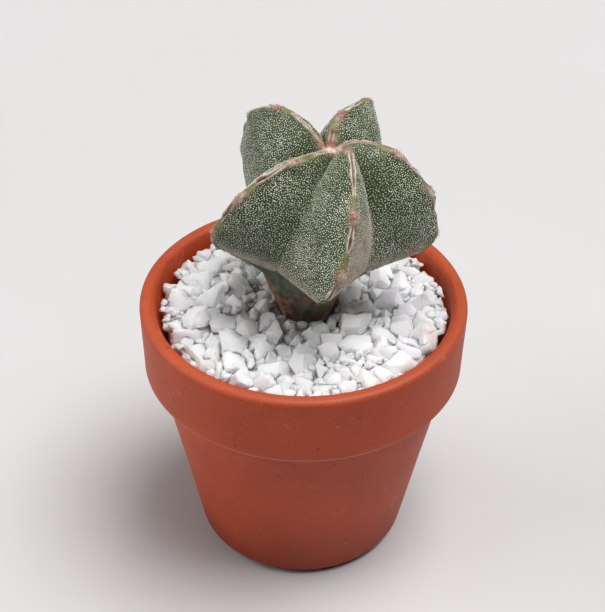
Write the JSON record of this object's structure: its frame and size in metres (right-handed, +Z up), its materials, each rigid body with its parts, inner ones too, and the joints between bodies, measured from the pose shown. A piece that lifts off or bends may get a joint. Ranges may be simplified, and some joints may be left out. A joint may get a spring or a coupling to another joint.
{
  "type": "potted bishop's cap cactus",
  "caption": "Star-ribbed spineless cactus with a waisted stem, standing in white marble chips in a small tapered clay pot with a deep collar.",
  "frame": {"origin": "centre of the pot's foot, on the surface it rests on", "axes": "+Z up along the pot's axis, -Y towards the front of the picture, +X to its right"},
  "size_m": [0.06, 0.06, 0.0883],
  "materials": {
    "terracotta": "matte",
    "potting_mix": "matte",
    "white_marble": "satin",
    "cactus_skin": "matte"
  },
  "bodies": {
    "root": {"terracotta_pot": "terracotta", "potting_soil": "potting_mix", "gravel": "white_marble", "cactus": "cactus_skin"}
  },
  "joints": []
}
